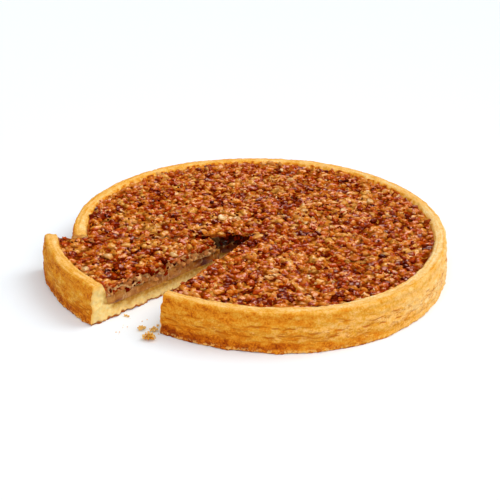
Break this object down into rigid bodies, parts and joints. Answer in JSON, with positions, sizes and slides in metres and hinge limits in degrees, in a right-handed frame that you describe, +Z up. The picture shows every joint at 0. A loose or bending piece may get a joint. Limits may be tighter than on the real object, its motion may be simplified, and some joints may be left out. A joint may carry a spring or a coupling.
{
  "type": "walnut tart",
  "caption": "Round straight-sided walnut tart in a golden shortcrust shell, with a slice drawn part of the way out of its notch.",
  "frame": {"origin": "centre of the round tart on the underside of its shell, on the surface it stands on", "axes": "+Z up out of the tart, +X across the tart away from the slice's end, so that the notch opens towards -X and -Y"},
  "size_m": [0.2915, 0.2758, 0.0285],
  "materials": {
    "pastry": "dry, baked",
    "walnut_cream": "moist, slightly translucent",
    "walnut_topping": "caramel glaze, glossy"
  },
  "bodies": {
    "root": {"tart_crust": "pastry", "tart_cream": "walnut_cream", "tart_topping": "walnut_topping", "slice_crust": "pastry", "slice_cream": "walnut_cream", "slice_topping": "walnut_topping"}
  },
  "joints": []
}
